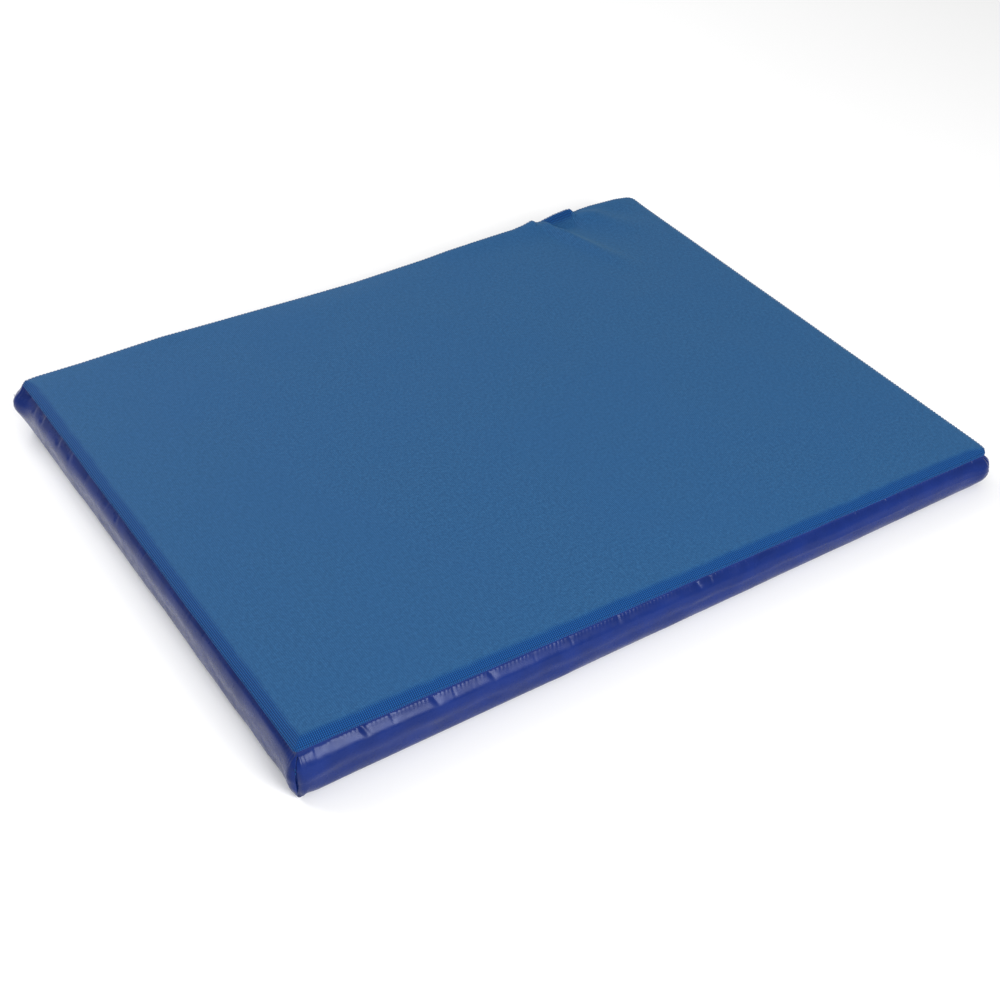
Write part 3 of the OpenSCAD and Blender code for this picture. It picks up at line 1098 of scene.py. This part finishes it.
def fabric_material():
    """Anti-slip weave: ribs across the mat with a finer weft, and small nubs where they cross."""
    m = Shader("anti_slip_fabric")
    m.set(Specular_IOR_Level=0.16, Sheen_Weight=0.08, Sheen_Roughness=0.5, Sheen_Tint=(0.35, 0.8, 1.0, 1))
    at = m.cloth()
    x, y, edge = m.parts(at)
    shift = m.math("MULTIPLY_ADD", m.noise(at, 0.05, 1.0), 0.0012, y)
    rib = m.wave(m.math("MULTIPLY_ADD", m.noise(at, 0.03, 1.0), 0.0008, x), RIB_PITCH)
    weft = m.wave(shift, RIB_PITCH)
    nub = m.math("MULTIPLY", rib, m.math("MULTIPLY_ADD", weft, 0.65, 0.35))
    speck = m.ramp(m.noise(at, 0.0024, 1.0), 0.3, 0.7)
    fuzz = m.noise(at, 0.0011, 2.0)
    height = m.math("MULTIPLY_ADD", fuzz, 0.25, nub)
    # painted shade: the slanted border, out to a ragged line about 14 to 24 mm in from the edge, is coloured
    # darker and more saturated than the top
    slant_shade_reach = m.math("MULTIPLY_ADD", m.noise(at, 0.03, 3.0), 0.007, edge)
    border = m.ramp(slant_shade_reach, 0.0140, 0.0235, 1.0, 0.0)
    grain = m.ramp(m.noise(at, 0.0050, 3.0, 0.7), 0.25, 0.75)
    patch = m.noise(at, 0.16, 3.0)
    body = m.blend(nub, FACE_VALLEY, FACE_CREST)
    body = m.blend(m.math("MULTIPLY", speck, 0.30), body, FACE_CREST)
    body = m.blend(m.math("MULTIPLY_ADD", grain, 0.75, 0.25), FACE_DIM, body)
    mottled = m.blend(m.ramp(patch, 0.25, 0.75, 0.0, 0.30), body, FACE_SHADE)
    # painted shade of the slanted border, with the ribs still showing through it
    slant_shade_colour = m.blend(nub, SLANT_SHADE_VALLEY, SLANT_SHADE_CREST)
    colour = m.blend(border, mottled, slant_shade_colour)
    rough = m.ramp(fuzz, 0.2, 0.8, 0.62, 0.78)
    return m.finish(colour, rough, m.bump(height, 0.0005, 0.8))


def pvc_material():
    """Glossy coated fabric with the faint grid of the scrim under its skin."""
    m = Shader("pvc")
    m.set(Specular_IOR_Level=0.19, Specular_Tint=(0.74, 0.80, 1.0, 1))
    at = m.cloth()
    x, y, _ = m.parts(at)
    scrim = m.math("MAXIMUM", m.wave(x, 1.1 * MM), m.wave(y, 1.1 * MM))
    skin = m.noise(at, 0.006, 2.0)
    large = m.noise(at, 0.035, 2.0)
    colour = m.blend(m.ramp(large, 0.25, 0.75), PVC_DEEP, PVC_BASE)
    rough = m.ramp(m.noise(at, 0.02, 3.0), 0.3, 0.7, 0.22, 0.32)
    normal = m.bump(scrim, 0.00001, 1.0)
    normal = m.bump(skin, 0.0001, 0.5, normal)
    return m.finish(colour, rough, normal)


def thread_material():
    m = Shader("thread")
    m.set(Specular_IOR_Level=0.15)
    at = m.cloth()
    x, y, _ = m.parts(at)
    twist = m.wave(m.math("MULTIPLY_ADD", y, 1.2, x), 0.7 * MM)
    colour = m.blend(twist, (0.003, 0.036, 0.130), (0.012, 0.095, 0.270))
    return m.finish(colour, m.ramp(twist, 0.0, 1.0, 0.6, 0.4), m.bump(twist, 0.0001, 0.8))


def tape_material():
    m = Shader("zip_tape")
    m.set(Specular_IOR_Level=0.3, Sheen_Weight=0.3)
    at = m.place()
    x, _, z = m.parts(at)
    zigzag = m.math("PINGPONG", z, 1.6 * MM)
    twill = m.wave(m.math("ADD", x, zigzag), 0.8 * MM)
    colour = m.blend(twill, (0.006, 0.011, 0.055), (0.018, 0.030, 0.125))
    return m.finish(colour, m.ramp(twill, 0.0, 1.0, 0.85, 0.65), m.bump(twill, 0.00015, 0.8))


def teeth_material():
    m = Shader("zip_teeth")
    m.set(Specular_IOR_Level=0.5)
    at = m.place()
    flow = m.noise(at, 0.003, 2.0)
    colour = m.blend(flow, (0.012, 0.020, 0.095), (0.022, 0.034, 0.140))
    return m.finish(colour, m.ramp(flow, 0.3, 0.7, 0.30, 0.42), m.bump(flow, 0.00004, 0.6))


def metal_material():
    m = Shader("metal")
    m.set(Metallic=1.0)
    at = m.place()
    grain = m.add("Mapping", Scale=(0.08, 1.0, 1.0), Vector=at)
    brushed = m.noise(grain.outputs[0], 0.0002, 2.0)
    worn = m.noise(at, 0.004, 3.0)
    colour = m.blend(m.ramp(worn, 0.35, 0.7), (0.50, 0.50, 0.51), (0.66, 0.66, 0.67))
    return m.finish(colour, m.ramp(brushed, 0.2, 0.8, 0.24, 0.40), m.bump(brushed, 0.00003, 0.5))


def foam_material():
    m = Shader("foam")
    m.set(Specular_IOR_Level=0.2)
    at = m.place()
    pores = m.add("TexVoronoi", Scale=1 / 0.0016, Vector=at).outputs["Distance"]
    # painted shade: the pores are coloured darker than the cell walls round them
    tone = m.blend(m.ramp(pores, 0.0, 0.6), (0.55, 0.50, 0.38), (0.80, 0.77, 0.66))
    aged = m.blend(m.ramp(m.noise(at, 0.12, 2.0), 0.4, 0.7, 0.0, 0.4), tone, (0.74, 0.68, 0.50))
    return m.finish(aged, m.ramp(pores, 0.0, 0.6, 0.95, 0.85), m.bump(pores, 0.0006, 0.9))


MATERIALS = {
    "anti_slip_fabric": fabric_material(),
    "pvc": pvc_material(),
    "thread": thread_material(),
    "zip_tape": tape_material(),
    "zip_teeth": teeth_material(),
    "metal": metal_material(),
    "foam": foam_material(),
}

# ---- the pieces


def keep(obj, node, slot, body="mat"):
    """Puts a finished piece on its body in place of its CAD node, with its material."""
    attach(obj, body)
    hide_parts(node)
    obj.data.materials.clear()
    obj.data.materials.append(MATERIALS[slot])
    return obj


foam = keep(build_foam(), "foam_core", "foam")

face = keep(build_face(), "anti_slip_face", "anti_slip_fabric")

base = keep(build_base(), "base_sheet", "pvc")

BAND_SEEDS = {"front": 21, "left": 41, "right": 61}
for side, seed in BAND_SEEDS.items():
    sheet = band_mesh(side + "_band_sheet", side, band_rows(side, seed))
    keep(sheet, side + "_band", "pvc")

for node, sheet in build_rear_pieces().items():
    keep(sheet, node, "pvc")

keep(build_face_seam(), "face_seam_thread", "thread")
keep(build_base_seam(), "base_seam_thread", "thread")
keep(build_corner_seams(), "corner_seam_threads", "thread")
keep(build_zip_stitching(), "zip_stitching", "thread")

for name, sign in (("zip_tape_upper", 1), ("zip_tape_lower", -1)):
    tape = keep(build_tape(name, sign), name, "zip_tape")

for name, sign in (("zip_row_upper", 1), ("zip_row_lower", -1)):
    keep(build_teeth(name, sign), name, "zip_teeth")

EDGE_BREAK = 0.25 * MM
METAL = {
    "zip_stop_closed": "mat", "zip_stop_open": "mat",
    "slider_body": "slider", "slider_bail": "slider", "pull_tab": "pull",
}
for node, body in METAL.items():
    keep(bevelled_copy(node, EDGE_BREAK), node, "metal", body)

# ---- the camera, lights and floor

CAMERA_PLACE = Vector((-1.173, -1.791, 1.655))
CAMERA_LENS = 61.17
CAMERA_TURN = math.radians(-33.37)
CAMERA_DOWN = math.radians(39.27)
CAMERA_ROLL = math.radians(0.69)


def build_camera():
    data = bpy.data.cameras.new("camera")
    data.sensor_width = 36
    data.lens = CAMERA_LENS
    cam = bpy.data.objects.new("camera", data)
    turn = Matrix.Rotation(CAMERA_TURN, 3, "Z")
    tilt = Matrix.Rotation(math.pi / 2 - CAMERA_DOWN, 3, "X")
    roll = Matrix.Rotation(CAMERA_ROLL, 3, "Z")
    cam.matrix_world = Matrix.Translation(CAMERA_PLACE) @ (turn @ tilt @ roll).to_4x4()
    bpy.context.scene.collection.objects.link(cam)
    bpy.context.scene.camera = cam


def softbox(name, place, target, size, radiance):
    """A rectangular light of a given brightness, whatever its size."""
    data = bpy.data.lights.new(name, "AREA")
    data.shape = "RECTANGLE"
    data.size, data.size_y = size
    data.energy = radiance * math.pi * size[0] * size[1]
    obj = bpy.data.objects.new(name, data)
    way = Vector(target) - Vector(place)
    obj.rotation_euler = way.to_track_quat("-Z", "Y").to_euler()
    obj.location = place
    bpy.context.scene.collection.objects.link(obj)


WORLD_LIGHT = 0.62
FLOOR_HALF = 8.0
# (place, target, size, radiance)
LIGHTS = {
    "back_light": ((-1.5, 2.6, 2.4), (0, 0, 0), (3.2, 2.0), 5.0),
    "front_light": ((0.0, -2.95, 1.65), (-0.45, -0.47, 0.08), (1.7, 1.25), 15.5),
}


def build_stage():
    scene = bpy.context.scene
    world = bpy.data.worlds.new("world")
    world.use_nodes = True
    background = world.node_tree.nodes["Background"]
    background.inputs["Color"].default_value = (1, 1, 1, 1)
    background.inputs["Strength"].default_value = WORLD_LIGHT
    scene.world = world
    scene.view_settings.view_transform = "Standard"
    m = Shader("floor")
    m.set(Specular_IOR_Level=0.1)
    tone = m.blend(m.noise(m.place(), 0.7, 1.0), (0.88, 0.88, 0.88), (0.90, 0.90, 0.90))
    m.finish(tone)
    m.set(Roughness=0.9)
    ends = (-FLOOR_HALF, FLOOR_HALF)
    verts = [(ends[i], ends[j], 0) for i, j in ((0, 0), (1, 0), (1, 1), (0, 1))]
    floor = make_object("floor", verts, [(0, 1, 2, 3)])
    floor.data.materials.append(m.mat)
    for name, light in LIGHTS.items():
        softbox(name, *light)


build_camera()
build_stage()
